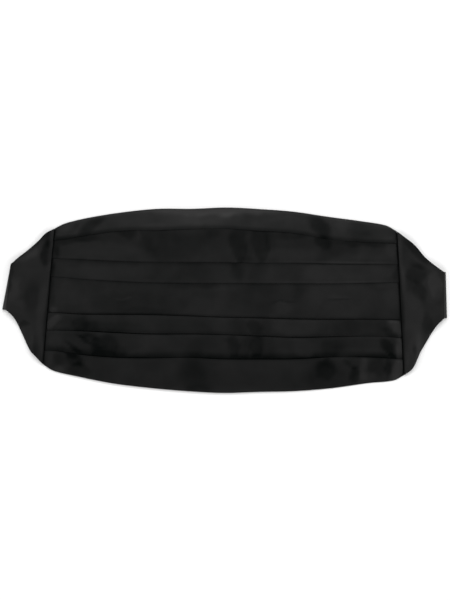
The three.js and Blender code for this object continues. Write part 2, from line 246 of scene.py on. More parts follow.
def cloth_grid(name, columns, rows, place):
    """A grid of cloth whose points come from place(column, row).

    place gives the point, its place on the cloth laid flat, and the cloth's state there as
    a dictionary, which becomes attributes."""
    bm = bmesh.new()
    bmesh.ops.create_grid(bm, x_segments=columns, y_segments=rows, size=0.5)
    flat = bm.loops.layers.uv.new("cloth")
    states = {key: bm.verts.layers.float.new(key) for key in place(0, 0)[2]}
    cut = {}
    for vert in bm.verts:
        column = round((vert.co.x + 0.5) * columns)
        row = round((0.5 - vert.co.y) * rows)
        vert.co, cut[vert.index], state = place(column, row)
        for key, value in state.items():
            vert[states[key]] = value
    bm.verts.index_update()
    for face in bm.faces:
        face.smooth = True
        for loop in face.loops:
            loop[flat].uv = cut[loop.vert.index]
    return new_piece(name, bm)


def thicken(piece, thickness, offset=0.0):
    wall = piece.modifiers.new("cloth wall", "SOLIDIFY")
    wall.thickness = thickness
    wall.offset = offset
    return wall


def make_strap(name, side):
    path = strap_path(FOLD_X[side])
    lengths = [0.0]
    for a, b in zip(path, path[1:]):
        lengths.append(lengths[-1] + math.dist(a, b))
    across = 30

    def place(column, row):
        index = column if side > 0 else len(path) - 1 - column
        x, z = side * path[index][0], path[index][1]
        offset = (0.5 - row / across) * STRAP_WIDTH
        slant = FOLD_SLANT[side] * strap_share(x)
        point = (x + slant * offset, strap_y(x) + offset, z)
        return point, (lengths[index], offset), {}

    piece = cloth_grid(name, len(path) - 1, across, place)
    thicken(piece, STRAP)
    round_edges(piece, STRAP_ROUND, 2)
    return piece, lengths[-1]


def sew(name, runs):
    """Stitches along runs of points, as one piece."""
    bm = bmesh.new()
    for run in runs:
        for start, end in zip(run, run[1:]):
            start, end = Vector(start), Vector(end)
            count = max(1, round((end - start).length / (STITCH + STITCH_GAP)))
            turn = (end - start).to_track_quat("X", "Z").to_matrix().to_4x4()
            for i in range(count):
                centre = start.lerp(end, (i + 0.5) / count)
                length = (end - start).length / count - STITCH_GAP
                scale = Matrix.Diagonal((length / 2, THREAD * STITCH_SPREAD, THREAD / 2, 1))
                bmesh.ops.create_uvsphere(
                    bm,
                    u_segments=8,
                    v_segments=6,
                    radius=1.0,
                    matrix=Matrix.Translation(centre) @ turn @ scale,
                )
    for face in bm.faces:
        face.smooth = True
    return new_piece(name, bm)


def socket(group, name, kind, into=True, value=None):
    made = group.interface.new_socket(
        name=name, in_out="INPUT" if into else "OUTPUT", socket_type=kind
    )
    if value is not None:
        made.default_value = value


def weave_group():
    """Threads along the cloth and across it, with uneven yarn."""
    group = bpy.data.node_groups.new("woven threads", "ShaderNodeTree")
    socket(group, "Cloth", "NodeSocketVector")
    socket(group, "Warp Pitch", "NodeSocketFloat", value=0.25 * MM)
    socket(group, "Weft Pitch", "NodeSocketFloat", value=0.5 * MM)
    socket(group, "Weft Share", "NodeSocketFloat", value=0.3)
    socket(group, "Height", "NodeSocketFloat", into=False)
    socket(group, "Slub", "NodeSocketFloat", into=False)
    nodes, links = group.nodes, group.links
    start = nodes.new("NodeGroupInput")
    end = nodes.new("NodeGroupOutput")
    split = nodes.new("ShaderNodeSeparateXYZ")
    links.new(start.outputs["Cloth"], split.inputs[0])

    def wave(axis, pitch):
        turns = nodes.new("ShaderNodeMath")
        turns.operation = "DIVIDE"
        links.new(split.outputs[axis], turns.inputs[0])
        links.new(start.outputs[pitch], turns.inputs[1])
        angle = nodes.new("ShaderNodeMath")
        angle.operation = "MULTIPLY"
        angle.inputs[1].default_value = 2 * math.pi
        links.new(turns.outputs[0], angle.inputs[0])
        sine = nodes.new("ShaderNodeMath")
        sine.operation = "SINE"
        links.new(angle.outputs[0], sine.inputs[0])
        return sine.outputs[0]

    blend = nodes.new("ShaderNodeMix")
    blend.data_type = "FLOAT"
    links.new(start.outputs["Weft Share"], blend.inputs["Factor"])
    links.new(wave("Y", "Warp Pitch"), blend.inputs["A"])
    links.new(wave("X", "Weft Pitch"), blend.inputs["B"])
    stretch = nodes.new("ShaderNodeMapping")
    stretch.inputs["Scale"].default_value = (60, 900, 1)
    links.new(start.outputs["Cloth"], stretch.inputs["Vector"])
    yarn = nodes.new("ShaderNodeTexNoise")
    yarn.inputs["Scale"].default_value = 1.0
    yarn.inputs["Detail"].default_value = 3.0
    links.new(stretch.outputs[0], yarn.inputs["Vector"])
    total = nodes.new("ShaderNodeMath")
    total.operation = "ADD"
    links.new(blend.outputs["Result"], total.inputs[0])
    links.new(yarn.outputs["Fac"], total.inputs[1])
    links.new(total.outputs[0], end.inputs["Height"])
    links.new(yarn.outputs["Fac"], end.inputs["Slub"])
    return group


WOVEN = weave_group()


def webbing_material():
    material = bpy.data.materials.new("elastic webbing")
    material.use_nodes = True
    nodes, links = material.node_tree.nodes, material.node_tree.links
    shader = nodes["Principled BSDF"]
    shader.inputs["Base Color"].default_value = STRAP_BLACK
    shader.inputs["Roughness"].default_value = 0.7
    shader.inputs["Specular IOR Level"].default_value = 0.2
    place = nodes.new("ShaderNodeTexCoord")
    weave = nodes.new("ShaderNodeGroup")
    weave.node_tree = WOVEN
    weave.inputs["Warp Pitch"].default_value = RIB_PITCH
    weave.inputs["Weft Pitch"].default_value = PICK_PITCH
    weave.inputs["Weft Share"].default_value = 0.35
    links.new(place.outputs["UV"], weave.inputs["Cloth"])
    bump = nodes.new("ShaderNodeBump")
    bump.inputs["Strength"].default_value = 0.7
    bump.inputs["Distance"].default_value = 0.2 * MM
    links.new(weave.outputs["Height"], bump.inputs["Height"])
    links.new(bump.outputs["Normal"], shader.inputs["Normal"])
    return material


def thread_material():
    material = bpy.data.materials.new("sewing thread")
    material.use_nodes = True
    nodes, links = material.node_tree.nodes, material.node_tree.links
    shader = nodes["Principled BSDF"]
    shader.inputs["Base Color"].default_value = THREAD_BLACK
    shader.inputs["Specular IOR Level"].default_value = 0.3
    place = nodes.new("ShaderNodeTexCoord")
    fuzz = nodes.new("ShaderNodeTexNoise")
    fuzz.inputs["Scale"].default_value = 3000.0
    links.new(place.outputs["Object"], fuzz.inputs["Vector"])
    gloss = nodes.new("ShaderNodeMapRange")
    gloss.inputs["To Min"].default_value = 0.4
    gloss.inputs["To Max"].default_value = 0.65
    links.new(fuzz.outputs["Fac"], gloss.inputs["Value"])
    links.new(gloss.outputs["Result"], shader.inputs["Roughness"])
    return material


def box_stitches(side):
    """A box with a cross, through the turned-back end and the strap, on the strap's face."""
    inner = CLASP_HALF_X + BACK_TO_STRAP + BOX_START
    outer = CLASP_HALF_X + TURN_BACK - BOX_END
    face = STRAP_LOW - STRAP / 2
    corners = []
    for x, across in ((inner, -1), (outer, -1), (outer, 1), (inner, 1)):
        y = strap_y(side * x) + across * (STRAP_WIDTH / 2 - BOX_SIDE)
        corners.append((side * x, y, face))
    return [corners + corners[:1], [corners[0], corners[2]], [corners[1], corners[3]]]


webbing = webbing_material()
thread = thread_material()
for name, side in (("left", -1), ("right", 1)):
    band, band_length = make_strap(f"webbing_{name}", side)
    band.data.materials.append(webbing)
    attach(band, "root")
    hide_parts(f"strap_{name}")
    seam = sew(f"strap_stitches_{name}", box_stitches(side))
    seam.data.materials.append(thread)
    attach(seam, "root")


# Pleated front
# One length of black satin: six knife pleats that all face the middle band, turned over a
# stiff core at both edges, then plain across the back, where its end laps over the top
# hem. Its ends go flat under the end panels.

SATIN = 0.22 * MM
PLY = SATIN * 1.15           # a layer of satin and the air under it
BACK_LEVEL = 0.17 * MM       # middle of the plain back over what the sash lies on
EDGE_LEVEL = 0.95 * MM       # top of the round at the turned edges
BAND_LEVEL = 1.3 * MM        # the middle band
TONGUE_LEVEL = 0.5 * MM      # the same where the front lies under an end panel
TONGUE_RISE = 0.55 * MM
LEAST_RISE = 0.5 * MM        # three layers of satin
PLEAT_SHARE = 0.42           # how much of a band is doubled behind its nose
SEAM_HOLLOW = 0.3 * MM       # the seam draws the front down over some millimetres beside it
HOLLOW_REACH = 5 * MM
RECESS = 3.0 * MM            # over this length beside the lip the satin carries painted shade
RECESS_PAINTED_SHADE = -1.1
TONGUE = 5 * MM
SEAM_DIP = 2.2 * MM          # the front goes down to the lip over this length
HEM = 13 * MM
HEM_FLAT = 4 * MM            # from here the hem climbs over the end of the back
HEM_PLIES = 2.1
LAP = 9 * MM                 # from the top edge to the fold at the end of the back
LAP_TURN = 5 * MM
COLUMNS = 150
FACE_STEPS = 17
FACE_CROWDING = 0.6          # how strongly a face's points crowd towards its two ends
CROWDING = 1.6               # the middle band's points crowd towards the pleat below it

SEAM_LEFT = (-133.3 * MM, 0.0858)
SEAM_RIGHT = (132.95 * MM, -0.05)
FRONT_LENGTH = SEAM_RIGHT[0] - SEAM_LEFT[0]


def chart(names, *rows):
    """A table with named columns, a list for each."""
    return {name: [row[i] for row in rows] for i, name in enumerate(names.split())}


def read(rows, key, column, at):
    """The smooth curve through one column of a chart."""
    keys, values = rows[key], rows[column]
    last = len(keys) - 1
    i = max(0, min(last - 1, sum(k < at for k in keys) - 1))

    def slope(k):
        a, b = max(0, k - 1), min(last, k + 1)
        return (values[b] - values[a]) / (keys[b] - keys[a])

    span = keys[i + 1] - keys[i]
    t = (at - keys[i]) / span
    h = (1 - t) ** 2
    return (
        (1 + 2 * t) * h * values[i]
        + t * h * span * slope(i)
        + t * t * (3 - 2 * t) * values[i + 1]
        + t * t * (t - 1) * span * slope(i + 1)
    )


# The edges and the pleat noses over the middle line, in millimetres, by share of the way
# from the left seam to the right one
FRONT = chart(
    "along top fold1 fold2 fold3 fold4 fold5 fold6 bottom",
    (0.00, 54.2, 45.6, 31.6, 18.0, -9.4, -22.9, -38.1, -48.3),
    (0.03, 58.1, 46.1, 31.4, 17.5, -9.8, -22.9, -38.4, -53.1),
    (0.10, 62.5, 49.1, 30.7, 15.9, -10.9, -23.5, -41.2, -57.6),
    (0.20, 66.6, 52.5, 29.4, 14.3, -11.2, -24.9, -43.5, -62.9),
    (0.30, 69.1, 52.7, 28.7, 13.2, -11.4, -25.9, -43.9, -66.2),
    (0.40, 69.1, 53.5, 28.5, 12.8, -12.2, -25.8, -43.3, -68.6),
    (0.50, 70.1, 53.8, 28.4, 12.8, -13.2, -26.3, -44.6, -70.0),
    (0.60, 68.9, 52.2, 27.9, 12.6, -13.8, -27.4, -44.7, -69.2),
    (0.70, 66.9, 50.5, 28.0, 12.6, -14.6, -28.5, -44.6, -68.6),
    (0.80, 63.1, 46.1, 27.5, 12.5, -14.9, -28.0, -43.2, -66.4),
    (0.90, 59.6, 43.9, 27.2, 12.9, -14.8, -27.5, -43.3, -62.6),
    (0.97, 56.4, 43.3, 27.2, 13.3, -15.1, -28.1, -44.3, -60.6),
    (1.00, 52.0, 43.0, 27.0, 13.4, -15.4, -29.0, -44.8, -56.6),
)

# Each pleat from its edge inwards, in mm: how far its nose stands over the middle band, how
# hollow its face runs (over 1) or how full (under 1), and how far the face starts over the
# middle band where the nose before it covers it, down to which it dives over a length. Then
# how far the nose drops over a length, with painted shade on it over that length, what share
# of the painted highlight in the next chart it takes, and the painted shade on the band
# under it, over a length
UPPER_PLEATS = chart(
    "nose rise bend start length drop dull soft shine under under_soft",
    ("fold1", 1.4, 0.7, 0.0, 1, 0.2, -1.1, 3.4, 0, -0.2, 1.5),
    ("fold2", 0.7, 1.7, 0.75, 14, 0.0, -0.45, 2.6, 1, -0.7, 3.0),
    ("fold3", 0.6, 1.2, 0.1, 8, 0.0, -0.4, 2.6, 0.8, -0.7, 2.8),
)
LOWER_PLEATS = chart(
    "nose rise bend start length drop dull soft shine under under_soft",
    ("fold6", 1.0, 0.55, 0.0, 1, 0.25, -0.9, 2.0, 0, -2.0, 5.0),
    ("fold5", 0.9, 1.0, -0.2, 5.0, 0.15, -0.6, 1.6, 0, -0.8, 2.8),
    ("fold4", 0.8, 1.0, -0.35, 3.5, 0.12, -0.4, 1.9, 0, -0.6, 2.6),
)
NOSE_RADIUS = 0.14 * MM
FOLD_INSIDE = 0.12 * MM      # the least rise of the layer inside a pleat
COVERED_RISE = 0.8           # the share of its rise that a low-starting face climbs at once
TOP_EDGE_HIGHLIGHT = 1.2             # painted highlight along the turned top edge
# Painted highlight along the turned bottom edge, and how far both edge highlights reach
LOW_EDGE_HIGHLIGHT = 0.3
EDGE_HIGHLIGHT_REACH = 2.2 * MM
PRESSED_SHARE = 0.2          # how much of a face is pressed, next to its nose
HIGHLIGHT_START = 1.0 * MM       # how far behind the fold a nose's painted highlight begins

# How well each pleat stands up and how bright the painted highlight on its nose is, by share of the
# way along
STAND = chart(
    "along fold1 fold2 fold3 fold4 fold5 fold6 shine",
    (0.00, 1.1, 0.5, 0.5, 0.5, 0.5, 0.5, 0.0),
    (0.06, 1.2, 0.9, 0.6, 0.5, 0.9, 0.7, 0.1),
    (0.15, 1.1, 1.0, 1.0, 1.3, 0.9, 1.0, 0.3),
    (0.26, 1.0, 1.0, 1.0, 1.2, 1.0, 1.0, 0.1),
    (0.33, 1.0, 0.55, 1.0, 1.1, 1.0, 0.8, 0.1),
    (0.39, 1.0, 0.95, 0.95, 1.0, 1.0, 0.8, 0.1),
    (0.50, 0.9, 1.0, 0.9, 0.65, 0.9, 1.0, 0.1),
    (0.61, 1.0, 0.5, 1.0, 0.9, 1.1, 1.0, 0.4),
    (0.67, 1.0, 0.65, 1.0, 0.9, 1.15, 1.0, 0.7),
    (0.73, 1.0, 1.0, 1.0, 0.9, 1.15, 1.0, 1.0),
    (0.78, 1.0, 1.2, 1.1, 0.9, 1.0, 0.9, 1.3),
    (0.84, 1.0, 1.2, 1.15, 0.8, 0.8, 0.55, 1.5),
    (0.89, 1.0, 1.0, 1.1, 0.5, 0.6, 1.0, 1.6),
    (0.95, 1.0, 0.7, 0.7, 0.45, 0.45, 0.9, 1.2),
    (1.00, 0.9, 0.2, 0.2, 0.4, 0.4, 0.9, 0.0),
)
MIDDLE_SINK = 0.7 * MM       # the middle band goes down under the pleat below it
MIDDLE_DIVE = 2.5 * MM

# Where the satin is slack over the core (below 0) or drawn up (above 0), band by band; the
# same amount paints shade (below 0) or highlight (above 0) into its colour and sheen. Centre
# and half sizes in mm, how sharp its edge is, from 1, quite soft, to 4, a crease, and the
# amount. Then, where these aren't 0, how far the dent leans to the right for each mm up, and
# how much wider it gets upwards
SLACK_AND_PAINTED_LIGHT = {
    "top": (
        (0, 60, 150, 30, 4, 0.3),
        (-10, 71, 54, 6.5, 2, 3.3),
        (-20, 63, 21, 6, 2, 1.0),
        (2, 66, 6, 4, 2, 0.7, 0.5),
        (32, 69, 20, 4, 2, 0.9),
        (-52, 55, 9, 3, 2, 0.5),
        (-120, 54, 6, 4, 2, 0.6, 0.5),
        (-120, 47.5, 12, 2, 2, -0.7, 0.2),
        (-121, 51.5, 6, 2, 2, -0.7),
        (-101, 56.5, 6.5, 8, 2, -1.3, 0.9),
        (-114, 55.5, 3, 4, 2, -0.8, 0.5),
        (-90, 58, 9, 8, 2, -0.6),
        (14, 58, 9, 6, 1, -0.4),
        (8, 63, 6, 4, 2, 0.2, 0.5),
        (42, 63, 12, 3, 2, 0.35),
        (42, 56, 26, 4, 1, -0.4),
        (71.8, 56, 7.2, 10, 3, -1.4, -0.5),
        (91, 57, 6, 6, 2, 0.5),
        (103, 53, 8.5, 9, 2, -0.8),
        (117, 50, 12, 4, 2, -0.6),
    ),
    "second": (
        (-127.3, 36.5, 3.6, 8, 2, -1.5),
        (-117, 45.0, 11, 2.4, 2, -0.9, 0.3),
        (-104, 46.5, 11, 3, 2, -0.8),
        (-74, 50, 8, 4.5, 2, -1.1, -0.5, 0.6),
        (-65.5, 50.5, 1.6, 4.5, 1, 1.0, 0.2),
        (-88, 37, 25, 6.5, 3, 0.45),
        (-45, 42, 22, 14, 3, -0.6, -0.3, 0.1),
        (-55, 36, 7, 7, 2, -0.35),
        (-61, 46, 5, 8, 2, -0.4, -0.5),
        (-9, 50, 6, 4, 2, -0.7),
        (-16, 41, 9, 11, 2, -0.65),
        (10.5, 41, 6.6, 14, 4, -1.0, -0.1, 0.25),
        (19, 51, 5, 3, 2, -0.5),
        (15, 31, 6, 3, 2, -0.7),
        (18.5, 38, 4, 9, 2, -0.6),
        (27.5, 41.5, 6.5, 14, 4, -1.15, 0, 0.4),
        (35, 43, 4, 9, 2, -0.4),
        (51, 48.5, 13, 3, 2, -0.7),
        (49, 34, 24, 5.5, 3, 0.6),
        (74.5, 43.5, 6.5, 6.5, 4, -1.1, -0.3),
        (79, 34, 9, 5, 2, -0.6),
        (92, 39, 10, 6, 2, -0.4),
        (108, 42.5, 28, 2.8, 2, -0.8),
        (112, 34, 17, 5, 2, 0.6),
        (127, 39, 5, 7, 2, 0.9),
    ),
    "third": (
        (-130.3, 22, 2.6, 7, 2, -1.4),
        (-88, 21, 34, 5, 4, 0.3),
        (-34, 21, 24, 12, 4, -0.4),
        (9.5, 22, 5.5, 8, 2, -0.9),
        (25, 22, 7, 9, 2, -0.3),
        (37, 20, 6, 9, 2, 0.5),
        (92, 20, 35, 9, 4, 0.65),
        (66, 20, 8, 9, 2, 0.6),
        (129.5, 19, 2.3, 6, 2, -0.9),
    ),
    "middle": (
        (-131, 6, 2.5, 10, 2, -0.8),
        (-129.5, -7.5, 3, 3, 2, 1.3),
        (-119, 4, 9, 11, 2, 0.5),
        (-64, -3, 40, 9, 3, -0.4),
        (-60, -9, 17, 3, 2, -0.4),
        (-108, -4, 8, 6, 2, 0.35),
        (-16, -6, 12, 8, 2, 0.6),
        (-3, 1, 5, 15, 2, 0.5),
        (-16, 10.6, 24, 2.6, 2, -0.6),
        (26, 1, 13, 16, 3, -0.4),
        (43, -6, 7, 5, 3, 0.4),
        (55, 8, 5, 8, 2, -0.35, 0, 0.3),
        (90, 1, 28, 15, 4, 0.6),
        (67, 2, 6, 15, 2, 0.4),
        (-76, 1.6, 7, 1, 2, 0.7),
        (44, -1.3, 9, 0.9, 2, -0.7),
        (86, 1.8, 9, 0.9, 2, 0.6),
        (86, 0.2, 9, 0.9, 2, -0.6),
        (128, 2, 7, 11, 2, 0.7),
        (122, 11.5, 9, 2, 2, 0.6),
    ),
    "fifth": (
        (-131, -17.5, 5, 5.5, 4, 1.6, 0.95),
        (-118, -17, 6, 5, 2, -0.4),
        (-109.5, -18.5, 6.5, 6, 3, -0.9),
        (-101, -20, 7, 4, 2, -0.6),
        (-84, -21, 22, 5, 2, -0.7),
        (-18, -20.5, 7, 5, 2, -0.35, -0.5),
        (-3, -19, 5.5, 7, 2, 0.5),
        (22.5, -20.5, 5.5, 5.5, 4, -0.9, -0.4, 0.2),
        (30, -20, 5, 7, 2, -0.4),
        (11, -19, 7, 6, 2, -0.5),
        (54, -19.5, 18, 8, 4, 0.6),
        (96, -20, 7, 6, 3, -0.6),
        (85, -23.5, 4, 4, 2, -0.4),
        (119, -20, 6, 6, 2, -0.4),
        (125, -25, 5, 4.5, 3, -0.9, -0.8),
        (130.5, -21, 5, 8, 4, 1.7, -0.6),
    ),
    "sixth": (
        (-127.5, -31, 5, 6, 3, 0.6),
        (-107, -32, 10, 7, 3, -0.35),
        (-114.5, -34.5, 3.2, 4.5, 3, -1.1, -1.2),
        (-106, -30, 2.8, 4, 3, -1.1, -1.2),
        (-109, -26, 12, 3, 2, -0.5),
        (-90, -34, 11, 8, 4, -1.0),
        (-102, -28, 5, 3, 2, -0.8, -1.0),
        (-78, -37, 5, 4, 2, -0.7, -0.5),
        (-92, -39, 10, 5, 3, -0.7),
        (-94, -32, 8, 4, 3, -0.4),
        (-66, -39, 9, 3, 2, 0.5),
        (-55, -31, 18, 5, 2, 0.4),
        (-20, -35, 8, 8, 2, -0.5, 0.3),
        (6.5, -35, 5, 9, 3, -1.1),
        (24.5, -35, 5.5, 10, 4, -1.1, 0, 0.15),
        (18, -33, 3, 8, 2, -0.5),
        (14, -37, 5, 8, 2, -0.6),
        (33, -37, 6, 9, 2, -0.6),
        (59, -35.5, 9, 7, 4, 0.5, -0.4),
        (61, -41, 6, 2.5, 2, 0.6),
        (81, -36, 9, 6.5, 3, -0.6),
        (83, -33, 15, 9, 2, -0.3),
        (98, -39, 20, 3, 2, 0.4),
        (124.2, -36, 5.2, 7.5, 4, -1.4, -0.6),
        (132.7, -35, 3.3, 10, 2, 2.7),
    ),
    "bottom": (
        (-132, -46, 3.5, 5, 2, 0.8),
        (-125, -45, 4, 4, 2, -0.5),
        (-125, -51.5, 5, 2.5, 2, 1.6),
        (-113.5, -45, 7, 6, 4, -1.2, -0.5),
        (-116, -42, 5, 3, 2, -0.7, -0.6),
        (-109, -52.5, 8, 5, 4, -0.9, -0.2),
        (-60, -52, 32, 12, 4, 0.2),
        (-25, -54, 10, 12, 1.5, -1.0),
        (-12, -58, 7, 9, 2, -0.4),
        (-20, -67, 10, 4, 2, -0.8),
        (30, -50, 33, 5, 2, 0.3),
        (76.3, -52.5, 8, 8, 4, -1.0),
        (75.5, -57, 14, 12, 3, -0.6),
        (78, -47, 6, 4, 2, -0.4),
        (98.4, -56, 4.4, 6.8, 4, -1.4),
        (94.5, -48.5, 3.2, 3.5, 3, -0.9, -1.0),
        (105, -53, 3, 10, 2, 1.4),
        (115.5, -51.5, 6.5, 7, 4, -0.7),
        (123.8, -51, 3.6, 6.5, 3, -1.4),
        (128, -57.5, 4, 2.2, 2, 1.4),
        (107, -59, 9, 4, 2, 0.9),
        (132, -53, 4.5, 9, 2, 2.6),
    ),
    "left end": (
        (-149, 4, 21, 44, 4, 0.4),
        (-133, 46, 3, 6, 2, -1.0, 0.3),
        (-149, 39, 3, 4, 2, 0.7, 1.0),
        (-134.6, 35, 3.8, 10, 3, -1.4, 0.1),
        (-145, 36, 5, 5.5, 2, 1.4, 0.4),
        (-140, 46, 4, 10, 2, -1.1, 1.1),
        (-154, -3, 4, 4, 2, 0.7),
        (-136.5, -8, 5, 26, 3, 0.6, 0.08),
        (-145, 2, 6.5, 13, 2, -0.9),
        (-158, 8, 4, 10, 2, 1.1, 0.2),
        (-162.5, 18, 3, 12, 2, -0.9, 0.15),
        (-151, -18.3, 5, 2.6, 3, -1.0),
        (-145, -38, 5, 5, 2, -0.8),
    ),
    "right end": (
        (150, -5, 20, 50, 4, 0.55),
        (148.5, 35.5, 6.5, 14, 2, -1.3, -1.05),
        (146, 26.5, 5, 4, 2, -0.7, -1.0),
        (144.5, 20, 7, 8, 3, -1.3),
        (152, 24, 4, 5, 2, -0.5, -0.8),
        (138.7, 13, 2.4, 5, 2, -0.7),
        (147, 6.5, 5.5, 8, 3, -1.1, -0.4),
        (162, 3, 3.5, 7, 2, -0.6),
        (158.5, 11, 5, 11, 3, 1.5, -0.15),
        (155, 1.5, 4, 4, 2, 0.6),
        (142, -10, 7, 17, 3, 0.8),
        (152.5, -17, 4, 9, 3, -0.8),
        (143, -40, 6, 16, 3, 1.1, 0.1),
        (143.5, -38.5, 2, 3.5, 2, -1.2),
    ),
}
SLACK_DEPTH = 0.14 * MM      # of a dent whose amount is 1
DRIFTS = ((9 * MM, 2.0), (3.5 * MM, 0.8))    # how a dent's edge wanders: over what, how far


def slack_and_painted_light(band, x, y):
    """How slack or drawn up the satin of a band is at one place, which also sets its painted shade and
    highlight.
    """
    total = 0.0
    place = Vector((x, y, 0))
    drift = Vector((0, 0, 0))
    for span, reach in DRIFTS:
        drift += noise.noise_vector(place / span) * reach * MM
    x, y = (x + drift.x) / MM, (y + drift.y) / MM
    for cx, cy, half_x, half_y, edge, amount, *rest in SLACK_AND_PAINTED_LIGHT.get(band, ()):
        lean, taper = (rest + [0, 0])[:2]
        along = (y - cy) / half_y
        across = (x - cx - lean * (y - cy)) / (half_x * max(0.2, 1 + taper * along))
        if abs(across) < 2 and abs(along) < 2:
            total += amount * math.exp(-((across**2 + along**2) ** edge))
    return total


# What the satin lies on
LIFT_STRAP = 1.5 * MM
LIFT_END = 2.5 * MM
LIFT_CLASP = CLASP_TOP + 1.6 * MM
OVER_CLASP = 22 * MM
CLASP_FADE = 58 * MM
END_CLIMB = (136 * MM, 146 * MM)
BESIDE_CLASP = CLASP_HALF_Y + 0.6 * MM
BESIDE_STRAP = STRAP_WIDTH / 2 + 0.8 * MM
UPPER_DROOP = 22 * MM        # the stiff front comes down to the surface near its edges
LOWER_DROOP = 32 * MM
CLASP_DROOP = 18 * MM        # the shortest way down, over the clasp and over the straps
STRAP_DROOP = 10 * MM

# The front's lower edge stands off the surface a little: how far, where, over what half
# length, and over what height of the front
CURL, CURL_X, CURL_HALF, CURL_HEIGHT = 1.1 * MM, -35 * MM, 95 * MM, 16 * MM


def lift(x, y, top, bottom):
    """Height of the cloth's underside over the surface, between a section's edges."""
    curl = CURL * math.exp(-(((x - CURL_X) / CURL_HALF) ** 4)) * (1 - ease((y - bottom) / CURL_HEIGHT))
    over_clasp = 1 - ease((abs(x) - OVER_CLASP) / CLASP_FADE)
    over_end = ease((abs(x) - END_CLIMB[0]) / (END_CLIMB[1] - END_CLIMB[0]))
    full = LIFT_STRAP + over_clasp * (LIFT_CLASP - LIFT_STRAP)
    full += over_end * (LIFT_END - LIFT_STRAP)
    middle = strap_y(x)
    reach = top - middle if y > middle else middle - bottom
    beside = mix(BESIDE_STRAP, BESIDE_CLASP, over_clasp)
    start = max(beside, reach - (UPPER_DROOP if y > middle else LOWER_DROOP))
    run = max(reach - start, mix(STRAP_DROOP, CLASP_DROOP, over_clasp))
    return full * (1 - clamp01((abs(y - middle) - start) / run) ** 2) + curl


# Height in mm, spans along and up, and a seed
CRUMPLES = ((0.16, 24 * MM, 12 * MM, 3.1), (0.05, 9 * MM, 6 * MM, 8.7))


def crumple(x, y):
    """Slight unevenness that pressing leaves in the satin."""
    total = 0.0
    for height, along, up, seed in CRUMPLES:
        total += height * noise.noise(Vector((x / along, y / up, seed)))
    return total * MM


def pleat_half(edge, down, pleats, heights, stands, base, open_share):
    """The satin from one turned edge to the innermost nose, as (y, over, pressed, painted light at the
    folds, band).
    """
    names = ("top", "second", "third") if down > 0 else ("bottom", "sixth", "fifth")
    path = []
    # Painted highlight along the turned edge, then on each band the painted shade where the nose
    # before it covers it
    start, hidden, under_soft = edge, 0.0, EDGE_HIGHLIGHT_REACH
    under = TOP_EDGE_HIGHLIGHT if down > 0 else LOW_EDGE_HIGHLIGHT
    for k, nose_name in enumerate(pleats["nose"]):
        nose, bend = heights[nose_name], pleats["bend"][k]
        stand = stands[nose_name]
        rise = mix(TONGUE_RISE, max(LEAST_RISE, pleats["rise"][k] * MM * stand), open_share)
        offset = pleats["start"][k] * MM * open_share * stand
        reach = pleats["length"][k] * MM
        round_nose = NOSE_RADIUS
        stop = nose + down * round_nose
        width = abs(start - stop)
        drop = pleats["drop"][k] * MM * open_share
        dull, soft = pleats["dull"][k] * min(1, stand), pleats["soft"][k] * MM
        shine = pleats["shine"][k] * stands["shine"]

        def face(s):
            first = EDGE_LEVEL if k == 0 else base
            full = 1 - (1 - s) ** (1 / bend) if bend < 1 else s**bend
            if offset < 0:
                first += rise * COVERED_RISE
            dive = clamp01(1 - s * width / reach) ** 2
            level = mix(first, base + rise, full) + dive * (offset - (first - base if k else 0))
            return level - drop * ease(1 - (1 - s) * width / soft)

        # Painted shade at the nose, painted highlight just behind a shining nose, and the painted
        # light where the face starts
        def shade(s):
            from_nose = (1 - s) * width
            nose_tone = dull + (shine - dull) * ease(from_nose / HIGHLIGHT_START) if shine > 0 else dull
            near_nose = 1 - ease(from_nose / soft)
            return nose_tone * near_nose + under * (1 - ease(s * width / under_soft))

        for i in range(1, 3 if k else 1):
            path.append((start + down * hidden * (1 - i / 3), face(0), 0.0, under, names[k]))
        for i in range(0 if k else 1, FACE_STEPS + 1):
            s = mix(i / FACE_STEPS, ease(i / FACE_STEPS), FACE_CROWDING)
            pressed = ease((s - (1 - PRESSED_SHARE)) / PRESSED_SHARE)
            path.append((mix(start, stop, s), face(s), pressed, shade(s), names[k]))
        end_level = face(1)
        begin, end = (90, 270) if down > 0 else (90, -90)
        for y, z in arc(stop, end_level - round_nose, round_nose, begin, end, 8)[1:]:
            path.append((y, z, 1.0, dull, names[k]))
        depth = PLEAT_SHARE * width
        inner = base + max((face(1 - depth / width) - base) / 2, FOLD_INSIDE)
        for i in range(1, 5):
            y = stop + down * depth * i / 4
            path.append((y, mix(end_level - 2 * round_nose, inner, i / 4), 0.0, 0.0, names[k]))
        begin, end = (90, -90) if down > 0 else (90, 270)
        half = (inner - base) / 2
        for y, z in arc(stop + down * depth, base + half, half, begin, end, 4)[1:]:
            path.append((y, z, 0.0, 0.0, names[k]))
        start, hidden = nose, depth + round_nose
        under = pleats["under"][k] * min(1, stand) * (1 + 0.3 * shine)
        under_soft = pleats["under_soft"][k] * MM * (1.3 - 0.5 * shine)
    return path, start, hidden


